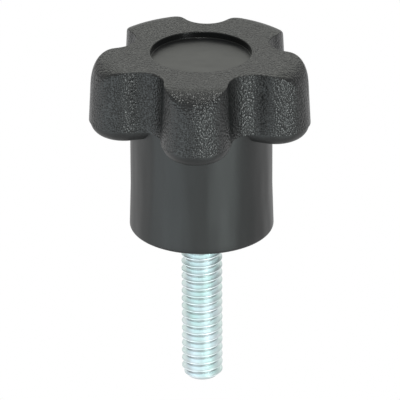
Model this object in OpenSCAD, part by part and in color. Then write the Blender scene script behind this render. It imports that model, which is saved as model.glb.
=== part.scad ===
// Five-arm knob moulded round the head of a threaded stud
// Millimetres, Z along the stud, Z = 0 at the foot of the hub, the first arm along -Y

/* [Head] */
// Number of arms
arms = 5; // [3:1:7]
// Radius over the arms at the parting line
head_r = 17.25; // [15:0.05:24]
// Height of the flat top above the foot of the hub
top_z = 28.6; // [25:0.1:40]
// Height of the parting line above the foot of the hub
parting_z = 19; // [15:0.1:22]
// Lean of the moulded walls above the parting line, in degrees
draft = 3; // [0.5:0.1:5]
// Radius of the edge rolled round the top
roll_r = 3.55; // [1:0.05:5]
// Radius of an arm's round end, which is half the arm's width
arm_r = 5.3; // [4:0.05:6]
// Radius of the finger flutes at the parting line
flute_r = 3.4; // [2.5:0.05:5]
// Round on the top edge of the flutes
flute_edge_r = 0.3; // [0.15:0.05:0.8]
// Step inwards just below the parting line
parting_step = 0.2; // [0.05:0.05:0.5]
// Radius of the round under the arms
under_r = 2.1; // [0.5:0.05:3]

/* [Recess in the top] */
// Radius of the recess
recess_r = 7.6; // [4:0.05:9]
// Depth of the recess
recess_depth = 1; // [0.6:0.05:4]
// Round between the floor and the wall of the recess
recess_floor_r = 0.2; // [0.1:0.05:0.5]
// Round on the rim of the recess
recess_rim_r = 0.15; // [0.1:0.05:0.5]

/* [Hub] */
// Radius of the hub under the head
hub_r = 10.75; // [8:0.05:12]
// Radius of the hub at its foot
foot_r = 10.95; // [8:0.05:13]
// Height over which the hub widens to its foot
foot_flare_z = 7; // [2:0.1:12]
// Round on the edge of the foot
foot_edge_r = 0.5; // [0.2:0.05:1]

/* [Stud] */
// Radius over the thread
stud_r = 3.12; // [2:0.01:5]
// Length of the stud below the foot of the hub
stud_length = 25.4; // [10:0.1:60]
// Chamfer on the free end of the stud
stud_chamfer = 0.8; // [0.3:0.05:1.2]
// Height over which the thread runs out inside the hub
runout_z = 0.4; // [0.1:0.05:1]
// Radius of the plain neck inside the hub
neck_r = 2.75; // [1.5:0.05:4]
// Height of the anchor's lower face above the foot of the hub
anchor_z = 8; // [4:0.1:12]
// Width of the hexagonal anchor across its flats
anchor_af = 11.1; // [8:0.1:14]
// Thickness of the anchor
anchor_h = 4; // [2:0.1:6]
// Gap between the stud and the plastic moulded round it
mould_gap = 0; // [0:0.01:0.1]

/* [Hidden] */
$fn = 96;
// how far a cutter or a blank runs past the face it makes
past = 1;
// how far surfaces that would only touch are set into each other
lap = 0.006;
// how far an edge round stops short of lying flat on its face
edge_lift = 0.02;
// how far the round arm ends stand out before the head is turned to its radius
end_proud = 0.02;
step_angle = 360 / arms;
lean = tan(draft);
under_z = parting_z - under_r;
blank_z = top_z + past;
// axis of an arm's round end, and axis of a flute, from the knob's axis
end_x = head_r + end_proud - arm_r;
flute_x = (arm_r + flute_r) / sin(step_angle / 2);
// centre of the rolled edge, and the point where it leaves the wall
roll_z = top_z - roll_r;
roll_x = head_r - lean * (roll_z - parting_z) - roll_r / cos(draft);
roll_wall = [roll_x + roll_r * cos(draft), roll_z + roll_r * sin(draft)];
floor_z = top_z - recess_depth;
// the hub ends inside the head
hub_top_z = parting_z + 0.5;
anchor_r = anchor_af / 2 / cos(30);

// quarter of a disc, filling the quadrant that sx and sy point to
module quarter(r, sx, sy) {
  intersection() {
    circle(r);
    scale([sx, sy])
      square(2 * r);
  }
}

// what is left of a corner of size r once its round is in place, lapped over the wall below it
module edge_flare(r) {
  translate([-lap, 0])
    difference() {
      square([r, r + past]);
      translate([r, edge_lift])
        circle(r);
    }
}

// half of an arm's section, half width along X and height along Y
module arm_half() {
  round_x = arm_r - parting_step - under_r;
  polygon([
    [0, parting_z],
    [arm_r, parting_z],
    [arm_r - lean * (blank_z - parting_z), blank_z],
    [0, blank_z]
  ]);
  translate([0, under_z])
    square([round_x, under_r]);
  translate([round_x, parting_z])
    quarter(under_r, 1, -1);
}

// one arm along +X, a straight bar with a round end
module arm() {
  rotate([90, 0, 90])
    linear_extrude(end_x) {
      arm_half();
      mirror([1, 0])
        arm_half();
    }
  translate([end_x, 0, 0])
    rotate([0, 0, -90])
      rotate_extrude(angle = 180)
        arm_half();
}

// web between the arms, a corner on the axis of each flute, its underside just clear of the arms' step
module web() {
  translate([0, 0, parting_z + lap])
    rotate([0, 0, step_angle / 2])
      linear_extrude(blank_z - parting_z)
        circle(flute_x, $fn = arms);
}

// finger flute between two arms, on its own axis
module flute() {
  low_z = under_z - past;
  low_r = flute_r + lap - lean * (parting_z - low_z);
  edge_x = flute_r + lap + lean * (top_z - parting_z);
  rotate_extrude() {
    polygon([
      [0, low_z],
      [low_r, low_z],
      [edge_x, top_z],
      [edge_x, blank_z],
      [0, blank_z]
    ]);
    translate([edge_x - lean * flute_edge_r, top_z - flute_edge_r])
      edge_flare(flute_edge_r);
  }
}

// half section of the turned outline: drafted wall, rolled edge, flat top and recess, clear of the hub
module turned_half() {
  low_z = -past;
  difference() {
    union() {
      polygon([
        [0, low_z],
        [head_r + lean * (parting_z - low_z), low_z],
        roll_wall,
        [roll_x, roll_z],
        [roll_x, top_z],
        [0, top_z]
      ]);
      translate([roll_x, roll_z])
        intersection() {
          circle(roll_r);
          polygon([
            [0, 0],
            2 * roll_r * [cos(draft), sin(draft)],
            2 * roll_r * [1, 1],
            [0, 2 * roll_r]
          ]);
        }
    }
    recess_half();
  }
}

// half section of the recess
module recess_half() {
  inner_r = recess_r - recess_floor_r;
  translate([0, floor_z])
    square([inner_r, recess_depth + past]);
  translate([inner_r, floor_z + recess_floor_r]) {
    quarter(recess_floor_r, 1, -1);
    square([recess_floor_r, recess_depth - recess_floor_r + past]);
  }
  translate([recess_r, top_z - recess_rim_r])
    edge_flare(recess_rim_r);
}

// half section of the hub
module hub_half() {
  difference() {
    polygon([
      [0, 0],
      [foot_r, 0],
      [hub_r, foot_flare_z],
      [hub_r, hub_top_z],
      [0, hub_top_z]
    ]);
    translate([foot_r - foot_edge_r, 0])
      difference() {
        translate([edge_lift, -past])
          square([foot_edge_r + past, foot_edge_r + past]);
        translate([0, foot_edge_r - lap])
          circle(foot_edge_r);
      }
  }
}

// arms, web and hub in one blank, turned to the head's outline, with the flutes cut between the arms
module moulding() {
  difference() {
    intersection() {
      rotate_extrude()
        turned_half();
      union() {
        web();
        for (i = [0:arms - 1])
          rotate([0, 0, i * step_angle])
            arm();
        rotate([0, 0, step_angle / 2])
          rotate_extrude()
            hub_half();
      }
    }
    for (i = [0:arms - 1])
      rotate([0, 0, (i + 0.5) * step_angle])
        translate([flute_x, 0, 0])
          flute();
  }
}

// the stud, or with a gap the room that it takes in the moulding
module stud_solid(gap) {
  rotate_extrude()
    polygon([
      [0, -stud_length - gap],
      [stud_r - stud_chamfer + gap, -stud_length - gap],
      [stud_r + gap, -stud_length + stud_chamfer - gap],
      [stud_r + gap, 0],
      [neck_r + gap, runout_z],
      [neck_r + gap, anchor_z + anchor_h / 2],
      [0, anchor_z + anchor_h / 2]
    ]);
  translate([0, 0, anchor_z - gap])
    cylinder(h = anchor_h + 2 * gap, r = anchor_r + gap / cos(30), $fn = 6);
}

// the moulding with room for the stud and its anchor
module knob_body() {
  color([0.06, 0.065, 0.065])
    difference() {
      rotate([0, 0, -90])
        moulding();
      stud_solid(mould_gap);
    }
}

// zinc-plated stud with its anchor, the thread drawn as a plain rod
module threaded_stud() {
  color([0.75, 0.78, 0.8])
    stud_solid(0);
}

knob_body();
threaded_stud();
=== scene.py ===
import math

import bpy
import numpy as np
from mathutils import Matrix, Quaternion, Vector


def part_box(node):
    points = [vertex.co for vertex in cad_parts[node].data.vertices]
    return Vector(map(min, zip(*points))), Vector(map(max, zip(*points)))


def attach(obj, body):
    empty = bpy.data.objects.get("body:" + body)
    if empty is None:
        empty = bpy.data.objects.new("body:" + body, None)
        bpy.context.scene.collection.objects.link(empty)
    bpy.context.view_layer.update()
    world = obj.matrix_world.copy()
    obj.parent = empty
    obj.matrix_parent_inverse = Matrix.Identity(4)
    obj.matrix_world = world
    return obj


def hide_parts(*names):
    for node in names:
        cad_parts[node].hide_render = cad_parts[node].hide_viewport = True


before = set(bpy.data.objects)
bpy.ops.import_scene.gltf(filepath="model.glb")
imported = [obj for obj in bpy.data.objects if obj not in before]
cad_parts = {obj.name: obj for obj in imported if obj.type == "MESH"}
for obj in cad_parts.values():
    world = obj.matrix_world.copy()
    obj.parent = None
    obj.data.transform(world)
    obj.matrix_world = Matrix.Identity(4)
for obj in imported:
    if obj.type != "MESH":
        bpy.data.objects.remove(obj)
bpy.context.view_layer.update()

MM = 0.001

# Sizes of the solids in millimetres, with crisper rounds on the flutes' edge and the recess floor
body_low, body_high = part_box("knob_body")
stud_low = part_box("threaded_stud")[0]
ARMS = 5
FIRST_ARM = math.radians(-90)
STEP = 2 * math.pi / ARMS
HEAD_R = -body_low.y / MM
TOP_Z = body_high.z / MM
PARTING_Z = 19.0
LEAN = math.tan(math.radians(3.0))
ROLL_R = 3.55
ARM_R = 5.3
FLUTE_R = 3.4
# size of the edge between the walls and the top, where it lies on the flat
EDGE_R = 0.25
# how much the edge softens for each millimetre that it dips towards an arm's end
EDGE_SOFTENING = 0.45
PARTING_STEP = 0.2
UNDER_R = 2.1
RECESS_R = 7.6
RECESS_DEPTH = 1.0
RECESS_FLOOR_R = 0.12
RECESS_RIM_R = 0.15
HUB_R = 10.75
FOOT_R = 10.95
FOOT_FLARE_Z = 7.0
FOOT_EDGE_R = 0.5
# how far the web, the arms, the hub's foot and the stud run on inside the piece they meet
WEB_LAP = 0.5
ARM_LAP = 2.0
FOOT_LAP = 0.4
STUD_LAP = 0.35
END_X = HEAD_R - ARM_R
FLUTE_X = (ARM_R + FLUTE_R) / math.sin(STEP / 2)
ROLL_Z = TOP_Z - ROLL_R
ROLL_X = HEAD_R - LEAN * (ROLL_Z - PARTING_Z) - ROLL_R * math.hypot(1, LEAN)
FLOOR_Z = TOP_Z - RECESS_DEPTH

# Thread of the stud: 1/4 inch, 20 to the inch
STUD_R = 3.12
STUD_CHAMFER = 0.8
STUD_END_Z = stud_low.z / MM
PITCH = 25.4 / 20
THREAD_DEPTH = 0.75
CREST_FLAT = 0.16
ROOT_FLAT = 0.2
# a crest lies here on the stud's left edge as the camera sees it
CREST_Z = -6.17

# Camera, as fitted to the photograph, in millimetres
AZIMUTH = math.radians(3.63)
ELEVATION = math.radians(24.8)
ROLL = math.radians(-0.265)
DISTANCE = 769
LENS = 457
SENSOR = 36
CLIP_NEAR = 50
CLIP_FAR = 10000
LOOKED_AT_Z = 10
AIM_RIGHT = -0.244
AIM_UP = -5.388

# Material slots of the moulding, and the stud's only one
GRAINED, SMOOTH, RECESS_WALL, RECESS_FLOOR = range(4)
PLATED = 0


# Meshes are gathered as grids of points, in millimetres
class Shell:
    def __init__(self):
        self.points = []
        self.faces = []
        self.slots = []
        self.count = 0

    def grid(self, rows, slot, closed=True):
        """Quads over rows of points that run anticlockwise, seen from the side the faces look to."""
        rows = np.asarray(rows, float)
        n_rows, n_cols = rows.shape[:2]
        index = self.count + np.arange(n_rows * n_cols).reshape(n_rows, n_cols)
        here, there = index, np.roll(index, -1, axis=1)
        if not closed:
            here, there = index[:, :-1], index[:, 1:]
        quads = np.stack([here[:-1], there[:-1], there[1:], here[1:]], axis=-1).reshape(-1, 4)
        self.faces += quads.tolist()
        self.slots += [slot] * len(quads)
        self.points.append(rows.reshape(-1, 3))
        self.count += n_rows * n_cols
        return index

    def fan(self, ring, centre, slot):
        """Triangles from a ring of points to a centre."""
        hub = self.count
        self.points.append(np.array([centre], float))
        self.count += 1
        for a, b in zip(ring, np.roll(ring, -1)):
            self.faces.append([int(a), int(b), hub])
            self.slots.append(slot)

    def piece(self, name, materials, sharp=40):
        mesh = bpy.data.meshes.new(name)
        mesh.from_pydata((np.vstack(self.points) * MM).tolist(), [], self.faces)
        for m in materials:
            mesh.materials.append(m)
        mesh.polygons.foreach_set("material_index", self.slots)
        mesh.polygons.foreach_set("use_smooth", [True] * len(self.faces))
        mesh.set_sharp_from_angle(angle=math.radians(sharp))
        mesh.update()
        piece = bpy.data.objects.new(name, mesh)
        bpy.context.scene.collection.objects.link(piece)
        return piece


def polar(r, angle):
    return np.stack([r * np.cos(angle), r * np.sin(angle)], axis=-1)


def with_z(plan, z):
    return np.concatenate([plan, np.broadcast_to(z, plan.shape[:-1])[..., None]], axis=-1)


def turned(r, z, angle):
    """Points at a radius and a height round the axis."""
    return with_z(polar(np.broadcast_to(r, angle.shape), angle), z)


# Plan of the head at the parting line: points and outward normals, anticlockwise
def half_arm(n_flute=20, n_flank=3, n_end=44):
    middle = polar(FLUTE_X, np.array(STEP / 2))
    a = np.linspace(STEP / 2, math.pi / 2, n_flute, endpoint=False)
    flute_n = polar(1, a)
    x = np.linspace(middle[0], END_X, n_flank, endpoint=False)
    flank_n = np.tile([0.0, 1.0], (n_flank, 1))
    b = np.linspace(math.pi / 2, 0, n_end)
    end_n = polar(1, b)
    points = np.vstack([
        middle - FLUTE_R * flute_n,
        np.stack([x, np.full(n_flank, ARM_R)], axis=-1),
        np.array([END_X, 0]) + ARM_R * end_n,
    ])
    return points, np.vstack([flute_n, flank_n, end_n])


def turn(plan, angle):
    c, s = math.cos(angle), math.sin(angle)
    return plan @ np.array([[c, s], [-s, c]])


def head_plan():
    points, normals = half_arm()
    mirror = np.array([1, -1])
    arm_p = np.vstack([points * mirror, points[-2:0:-1]])
    arm_n = np.vstack([normals * mirror, normals[-2:0:-1]])
    angles = [FIRST_ARM + i * STEP for i in range(ARMS)]
    return np.vstack([turn(arm_p, a) for a in angles]), np.vstack([turn(arm_n, a) for a in angles])


# Height at which each point of the plan, carried up its drafted wall, meets the rolled edge or the top
def crease_height(plan, normals):
    low = np.full(len(plan), ROLL_Z + ROLL_R * math.sin(math.atan(LEAN)))
    high = np.full(len(plan), TOP_Z)
    for _ in range(50):
        z = (low + high) / 2
        r = np.linalg.norm(plan - (LEAN * (z - PARTING_Z))[:, None] * normals, axis=1)
        outside = r > ROLL_X + np.sqrt(np.maximum(ROLL_R ** 2 - (z - ROLL_Z) ** 2, 0))
        high = np.where(outside, z, high)
        low = np.where(outside, low, z)
    return (low + high) / 2


# Head above the parting line: drafted walls, softened edge, rolled edge, flat top and recess
def head(shell, n_wall=36, n_edge=6, n_top=44):
    plan, normals = head_plan()

    def wall(z):
        return with_z(plan - (LEAN * (z - PARTING_Z))[:, None] * normals, z)

    crease_z = crease_height(plan, normals)
    crease = wall(crease_z)
    angle = np.arctan2(crease[:, 1], crease[:, 0])
    crease_r = np.hypot(crease[:, 0], crease[:, 1])
    start = np.where(crease_r > ROLL_X, np.arctan2(crease_z - ROLL_Z, crease_r - ROLL_X), math.pi / 2)
    roll_length = ROLL_R * (math.pi / 2 - start)
    flat_r = np.minimum(crease_r, ROLL_X)
    rim_r = RECESS_R + RECESS_RIM_R

    def over(length):
        """The way from the crease over the roll and the flat top towards the axis."""
        a = np.minimum(start + length / ROLL_R, math.pi / 2)
        on_roll = length < roll_length
        r = np.where(on_roll, ROLL_X + ROLL_R * np.cos(a), flat_r - (length - roll_length))
        z = np.where(on_roll, ROLL_Z + ROLL_R * np.sin(a), TOP_Z)
        return turned(r, z, angle)

    edge = EDGE_R + EDGE_SOFTENING * (TOP_Z - crease_z)
    edge_low = wall(crease_z - edge)
    edge_high = over(edge)
    whole = roll_length + flat_r - rim_r
    rows = [wall(PARTING_Z + t * (crease_z - edge - PARTING_Z)) for t in np.linspace(0, 1, n_wall)]
    for t in np.linspace(0, 1, n_edge + 2)[1:-1]:
        rows.append((1 - t) ** 2 * edge_low + 2 * t * (1 - t) * crease + t ** 2 * edge_high)
    rows += [over(edge + t * (whole - edge)) for t in np.linspace(0, 1, n_top)]
    web_end = polar(HUB_R - WEB_LAP, np.arctan2(plan[:, 1], plan[:, 0]))
    shell.grid([with_z(web_end, PARTING_Z), rows[0]], SMOOTH)
    shell.grid(rows, GRAINED)
    recess(shell, angle)


def recess(shell, angle, n_base=16, fan_r=0.4):
    quarter = np.linspace(0, math.pi / 2, 6)
    base_r = RECESS_R - RECESS_FLOOR_R
    round_z = FLOOR_Z + RECESS_FLOOR_R
    side = [(RECESS_R + RECESS_RIM_R * (1 - math.sin(a)), TOP_Z - RECESS_RIM_R * (1 - math.cos(a)))
            for a in quarter]
    side += [(base_r + RECESS_FLOOR_R * math.cos(a), round_z - RECESS_FLOOR_R * math.sin(a))
             for a in quarter]
    base = [(r, FLOOR_Z) for r in np.linspace(base_r, fan_r, n_base)]
    shell.grid([turned(r, z, angle) for r, z in side], RECESS_WALL)
    index = shell.grid([turned(r, z, angle) for r, z in base], RECESS_FLOOR)
    shell.fan(index[-1], (0, 0, FLOOR_Z), RECESS_FLOOR)


# Underside of each arm below the parting line: a bar with a round lower edge that runs into the hub
def under_arms(shell, n_end=41, middle_gap=0.01):
    bend = np.linspace(-math.pi / 2, math.pi / 2, n_end)
    root = np.linspace(HUB_R - ARM_LAP, END_X, 6, endpoint=False)
    rows = []
    insets = np.linspace(ARM_R - middle_gap, PARTING_STEP + UNDER_R, 8)
    sections = [(d, PARTING_Z - UNDER_R) for d in insets]
    sections += [(PARTING_STEP + UNDER_R * (1 - math.cos(a)), PARTING_Z - UNDER_R * math.sin(a))
                 for a in np.linspace(math.pi / 2, 0, 11)[1:]]
    for inset, z in sections:
        r = ARM_R - inset
        side = np.stack([root, np.full(len(root), r)], axis=-1)
        plan = np.vstack([side * [1, -1], np.array([END_X, 0]) + polar(r, bend), side[::-1]])
        rows.append((plan, z))
    for i in range(ARMS):
        a = FIRST_ARM + i * STEP
        shell.grid([with_z(turn(plan, a), z) for plan, z in rows], SMOOTH, closed=False)


# Hub from the flat of its foot up to the parting line
def hub(shell, n_round=160):
    angle = np.linspace(0, 2 * math.pi, n_round, endpoint=False)
    edge = np.linspace(0, math.pi / 2, 7)
    profile = [(r, 0) for r in np.linspace(STUD_R - FOOT_LAP, FOOT_R - FOOT_EDGE_R, 8)[:-1]]
    profile += [(FOOT_R - FOOT_EDGE_R * (1 - math.sin(a)), FOOT_EDGE_R * (1 - math.cos(a)))
                for a in edge]
    profile += [(FOOT_R + (HUB_R - FOOT_R) * t, FOOT_EDGE_R + (FOOT_FLARE_Z - FOOT_EDGE_R) * t)
                for t in np.linspace(0, 1, 8)[1:]]
    profile += [(HUB_R, z) for z in np.linspace(FOOT_FLARE_Z, PARTING_Z, 10)[1:]]
    shell.grid([turned(r, z, angle) for r, z in profile], SMOOTH)


def thread_radius(z, angle):
    """Radius of a right-hand thread with flat crests and roots."""
    left = math.pi + AZIMUTH
    turns = (z - CREST_Z) / PITCH - (angle - left) / (2 * math.pi)
    off_crest = np.abs(turns - np.round(turns)) * PITCH
    flank = (off_crest - CREST_FLAT / 2) / (PITCH / 2 - CREST_FLAT / 2 - ROOT_FLAT / 2)
    return STUD_R - THREAD_DEPTH * np.clip(flank, 0, 1)


def stud(shell, n_round=96, rise=0.05):
    angle = np.linspace(0, 2 * math.pi, n_round, endpoint=False)
    heights = np.arange(STUD_END_Z, STUD_LAP, rise)
    rows = []
    for z in heights:
        r = np.minimum(thread_radius(z, angle), STUD_R - STUD_CHAMFER + (z - STUD_END_Z))
        rows.append(turned(r, z, angle))
    index = shell.grid(rows, PLATED)
    shell.fan(index[0][::-1], (0, 0, STUD_END_Z), PLATED)


# Materials
BLACK = (0.0055, 0.006, 0.006, 1)
# depth of the grain on the flat top, as a share of that on the walls
TOP_GRAIN = 1.25
# how squarely a surface faces up where that change starts
TOP_FACING = 0.94
# share at which heights count for the waves, which makes them run up the moulding
WAVE_STRETCH = 0.25
ZINC_TINT = (0.75, 0.88, 0.87, 1)
ZINC_PALE = (0.85, 0.92, 0.95, 1)
ZINC_ROUGHNESS = 0.46
# size of the clouds in millimetres, and where in them the tint starts and ends to change
CLOUD_SIZE = 3
CLOUD_LOW = 0.35
CLOUD_HIGH = 0.65
# painted shade in the thread's roots: the brightness of the plate there, and the share of the thread's
# depth that is painted darker
ROOT_SHADE = 0.45
ROOT_SHARE = 0.22


def principled(name):
    material = bpy.data.materials.new(name)
    material.use_nodes = True
    tree = material.node_tree
    return material, tree.nodes, tree.links, tree.nodes["Principled BSDF"]


def map_range(nodes, from_min, from_max, to_min, to_max):
    node = nodes.new("ShaderNodeMapRange")
    node.inputs["From Min"].default_value = from_min
    node.inputs["From Max"].default_value = from_max
    node.inputs["To Min"].default_value = to_min
    node.inputs["To Max"].default_value = to_max
    return node


def calculation(nodes, kind, operation):
    node = nodes.new(kind)
    node.operation = operation
    return node


def stretched_place(nodes, links, stretch):
    """Place on the piece, each axis times its own share."""
    place = nodes.new("ShaderNodeTexCoord")
    stretched = calculation(nodes, "ShaderNodeVectorMath", "MULTIPLY")
    stretched.inputs[1].default_value = stretch
    links.new(place.outputs["Object"], stretched.inputs[0])
    return stretched.outputs["Vector"]


def axis_distance(nodes, links):
    """Distance from the knob's axis."""
    distance = calculation(nodes, "ShaderNodeVectorMath", "LENGTH")
    links.new(stretched_place(nodes, links, (1, 1, 0)), distance.inputs[0])
    return distance.outputs["Value"]


def grain(nodes, links, depth, size):
    """Pebbled mould grain, its depth and size in millimetres."""
    place = nodes.new("ShaderNodeTexCoord")
    cells = nodes.new("ShaderNodeTexVoronoi")
    cells.feature = "F1"
    cells.inputs["Scale"].default_value = 1 / (size * MM)
    # the grain is deeper on the flat top
    facing = nodes.new("ShaderNodeSeparateXYZ")
    depths = map_range(nodes, TOP_FACING, 1, depth * MM, TOP_GRAIN * depth * MM)
    bump = nodes.new("ShaderNodeBump")
    bump.invert = True
    links.new(place.outputs["Object"], cells.inputs["Vector"])
    links.new(place.outputs["Normal"], facing.inputs["Vector"])
    links.new(facing.outputs["Z"], depths.inputs["Value"])
    links.new(depths.outputs["Result"], bump.inputs["Distance"])
    links.new(cells.outputs["Distance"], bump.inputs["Height"])
    return bump


def waves(nodes, links, depth, size):
    """Shallow waves that run up the moulding, their depth and size in millimetres."""
    ripple = nodes.new("ShaderNodeTexNoise")
    ripple.inputs["Scale"].default_value = 1 / (size * MM)
    ripple.inputs["Detail"].default_value = 1
    bump = nodes.new("ShaderNodeBump")
    bump.inputs["Distance"].default_value = depth * MM
    links.new(stretched_place(nodes, links, (1, 1, WAVE_STRETCH)), ripple.inputs["Vector"])
    links.new(ripple.outputs["Fac"], bump.inputs["Height"])
    return bump


def plastic(name, rough, shine=0.5, relief=None, depth=0, size=0):
    """Black moulded plastic, plain or with a relief."""
    material, nodes, links, shader = principled(name)
    shader.inputs["Base Color"].default_value = BLACK
    shader.inputs["Roughness"].default_value = rough
    shader.inputs["Specular IOR Level"].default_value = shine
    if relief:
        bump = relief(nodes, links, depth, size)
        links.new(bump.outputs["Normal"], shader.inputs["Normal"])
    return material


def zinc():
    """Zinc plate with a pale blue-green passivation, a little cloudy, with painted shade in the
    thread's roots.
    """
    material, nodes, links, shader = principled("zinc_plate")
    shader.inputs["Metallic"].default_value = 1
    shader.inputs["Roughness"].default_value = ZINC_ROUGHNESS
    place = nodes.new("ShaderNodeTexCoord")
    cloud = nodes.new("ShaderNodeTexNoise")
    cloud.inputs["Scale"].default_value = 1 / (CLOUD_SIZE * MM)
    cloud.inputs["Detail"].default_value = 2
    tint = nodes.new("ShaderNodeValToRGB")
    tint.color_ramp.elements[0].position = CLOUD_LOW
    tint.color_ramp.elements[0].color = ZINC_TINT
    tint.color_ramp.elements[1].position = CLOUD_HIGH
    tint.color_ramp.elements[1].color = ZINC_PALE
    links.new(place.outputs["Object"], cloud.inputs["Vector"])
    links.new(cloud.outputs["Fac"], tint.inputs["Fac"])
    # painted shade: the plate's colour is darker in the roots of the thread, where shade falls
    root_r = STUD_R - THREAD_DEPTH
    shade_edge_r = STUD_R - (1 - ROOT_SHARE) * THREAD_DEPTH
    root_shade_mask = map_range(nodes, root_r * MM, shade_edge_r * MM, ROOT_SHADE, 1)
    shaded = calculation(nodes, "ShaderNodeVectorMath", "SCALE")
    links.new(axis_distance(nodes, links), root_shade_mask.inputs["Value"])
    links.new(tint.outputs["Color"], shaded.inputs[0])
    links.new(root_shade_mask.outputs["Result"], shaded.inputs["Scale"])
    links.new(shaded.outputs["Vector"], shader.inputs["Base Color"])
    return material


# Pieces
body = Shell()
head(body)
under_arms(body)
hub(body)
plastics = [
    plastic("grained_plastic", 0.3, relief=grain, depth=0.115, size=0.35),
    plastic("smooth_plastic", 0.43, relief=waves, depth=0.4, size=4),
    # painted shade: the recess wall gets a less shiny copy of the plastic, darker to stand in for the
    # shade in the narrow gap
    plastic("shaded_recess_wall_plastic", 0.25, shine=0.22),
    plastic("recess_floor_plastic", 0.37, relief=waves, depth=0.2, size=4),
]
knob = body.piece("moulded_knob", plastics)
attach(knob, "root")
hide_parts("knob_body")

rod = Shell()
stud(rod)
screw = rod.piece("zinc_stud", [zinc()], sharp=180)
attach(screw, "root")
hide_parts("threaded_stud")


# White surround: floor, world and lamps, in metres
FLOOR_REACH = 2.0
FLOOR_DROP = 0.2
FLOOR_WHITE = (0.9, 0.9, 0.9, 1)
FLOOR_ROUGHNESS = 0.9
# painted reflection: brightness of the floor's glow in front of the knob and behind it, as the knob
# reflects it, painted darker in front
FLOOR_IN_FRONT = 0.6
FLOOR_BEHIND = 0.95
FLOOR_BLEND = 0.15
# painted shadow: the knob's shadow on the floor straight below, painted into the floor's glow as the
# knob reflects it
SHADOW_REACH = 0.22
SHADOW_LEVEL = 0.6
# strength of the white world away from the camera's own rays
WORLD_LIGHT = 0.5


def painted_floor_reflection(nodes, links):
    """Painted reflection: brightness of the floor's glow as the knob reflects it, with a painted
    shadow straight below.
    """
    place = nodes.new("ShaderNodeTexCoord")
    across = nodes.new("ShaderNodeSeparateXYZ")
    blend = map_range(nodes, -FLOOR_BLEND, FLOOR_BLEND, FLOOR_IN_FRONT, FLOOR_BEHIND)
    painted_shadow = map_range(nodes, 0, SHADOW_REACH, SHADOW_LEVEL, 1)
    shaded = calculation(nodes, "ShaderNodeMath", "MULTIPLY")
    links.new(place.outputs["Object"], across.inputs["Vector"])
    links.new(across.outputs["Y"], blend.inputs["Value"])
    links.new(axis_distance(nodes, links), painted_shadow.inputs["Value"])
    links.new(blend.outputs["Result"], shaded.inputs[0])
    links.new(painted_shadow.outputs["Result"], shaded.inputs[1])
    return shaded.outputs["Value"]


def floor_material():
    """White to the camera, a glow with painted shade and a painted shadow in the knob's reflections,
    plain matt white to all other rays.
    """
    material, nodes, links, shader = principled("white_floor")
    shader.inputs["Base Color"].default_value = FLOOR_WHITE
    shader.inputs["Roughness"].default_value = FLOOR_ROUGHNESS
    path = nodes.new("ShaderNodeLightPath")
    seen = calculation(nodes, "ShaderNodeMath", "MAXIMUM")
    links.new(path.outputs["Is Camera Ray"], seen.inputs[0])
    links.new(path.outputs["Is Glossy Ray"], seen.inputs[1])
    level = calculation(nodes, "ShaderNodeMath", "MULTIPLY_ADD")
    links.new(path.outputs["Is Glossy Ray"], level.inputs[0])
    links.new(painted_floor_reflection(nodes, links), level.inputs[1])
    links.new(path.outputs["Is Camera Ray"], level.inputs[2])
    glow = nodes.new("ShaderNodeEmission")
    mix = nodes.new("ShaderNodeMixShader")
    links.new(level.outputs["Value"], glow.inputs["Strength"])
    links.new(seen.outputs["Value"], mix.inputs["Fac"])
    links.new(shader.outputs["BSDF"], mix.inputs[1])
    links.new(glow.outputs["Emission"], mix.inputs[2])
    links.new(mix.outputs["Shader"], nodes["Material Output"].inputs["Surface"])
    return material


def white_floor():
    mesh = bpy.data.meshes.new("floor")
    reach = FLOOR_REACH
    z = STUD_END_Z * MM - FLOOR_DROP
    corners = [(-reach, -reach, z), (reach, -reach, z), (reach, reach, z), (-reach, reach, z)]
    mesh.from_pydata(corners, [], [(0, 1, 2, 3)])
    mesh.materials.append(floor_material())
    floor = bpy.data.objects.new("floor", mesh)
    bpy.context.scene.collection.objects.link(floor)


def white_world():
    world = bpy.data.worlds.new("white_tent")
    bpy.context.scene.world = world
    world.use_nodes = True
    nodes, links = world.node_tree.nodes, world.node_tree.links
    path = nodes.new("ShaderNodeLightPath")
    level = map_range(nodes, 0, 1, WORLD_LIGHT, 1)
    nodes["Background"].inputs["Color"].default_value = (1, 1, 1, 1)
    links.new(path.outputs["Is Camera Ray"], level.inputs["Value"])
    links.new(level.outputs["Result"], nodes["Background"].inputs["Strength"])


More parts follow.
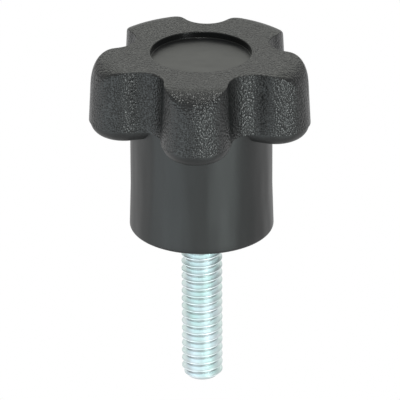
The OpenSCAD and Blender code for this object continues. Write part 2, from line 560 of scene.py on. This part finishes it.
def lamp(name, azimuth, elevation, distance, width, height, radiance, colour):
    """Soft rectangular lamp aimed at the knob, its azimuth counted to the right of the camera's."""
    a, e = AZIMUTH + math.radians(azimuth), math.radians(elevation)
    way = Vector((math.sin(a) * math.cos(e), -math.cos(a) * math.cos(e), math.sin(e)))
    data = bpy.data.lights.new(name, "AREA")
    data.shape = "RECTANGLE"
    data.size = width
    data.size_y = height
    data.energy = radiance * math.pi * width * height
    data.color = colour
    light = bpy.data.objects.new(name, data)
    bpy.context.scene.collection.objects.link(light)
    light.location = Vector((0, 0, LOOKED_AT_Z * MM)) + way * distance
    light.rotation_mode = "QUATERNION"
    light.rotation_quaternion = (-way).to_track_quat("-Z", "Y")


def camera():
    back = Vector((math.sin(AZIMUTH) * math.cos(ELEVATION), -math.cos(AZIMUTH) * math.cos(ELEVATION),
                   math.sin(ELEVATION)))
    right = Vector((math.cos(AZIMUTH), math.sin(AZIMUTH), 0))
    up = back.cross(right)
    looked_at = Vector((0, 0, LOOKED_AT_Z)) * MM
    place = looked_at + back * DISTANCE * MM
    aim = looked_at + (right * AIM_RIGHT + up * AIM_UP) * MM
    data = bpy.data.cameras.new("camera")
    data.lens = LENS
    data.sensor_width = SENSOR
    data.clip_start = CLIP_NEAR * MM
    data.clip_end = CLIP_FAR * MM
    cam = bpy.data.objects.new("camera", data)
    bpy.context.scene.collection.objects.link(cam)
    cam.location = place
    cam.rotation_mode = "QUATERNION"
    cam.rotation_quaternion = (aim - place).to_track_quat("-Z", "Y") @ Quaternion((0, 0, 1), ROLL)
    bpy.context.scene.camera = cam


white_floor()
white_world()
lamp("back_panel", 180, 30, 0.7, 1.0, 0.5, 0.78, (0.97, 1, 0.9))
lamp("ceiling", 0, 88, 0.6, 0.8, 0.8, 0.6, (0.98, 1, 0.96))
lamp("left_bounce", -50, -18, 0.4, 0.4, 0.34, 1.9, (0.85, 0.97, 1))
lamp("right_bounce", 36, -20, 0.4, 0.3, 0.26, 2.2, (0.87, 1, 0.98))
lamp("front_bounce", -6, -24, 0.5, 0.34, 0.3, 1.0, (0.92, 1, 0.99))
lamp("right_key", 32, 6, 0.7, 0.18, 0.18, 18, (0.95, 1, 0.99))
lamp("top_key", 4, 76, 0.7, 0.1, 0.1, 60, (0.98, 1, 0.96))
lamp("low_bounce", 0, -75, 0.19, 0.3, 0.2, 0.15, (0.98, 1, 0.97))
lamp("left_fill", -105, -20, 0.5, 0.4, 0.34, 0.3, (0.95, 1, 1))
camera()
bpy.context.scene.view_settings.view_transform = "Standard"
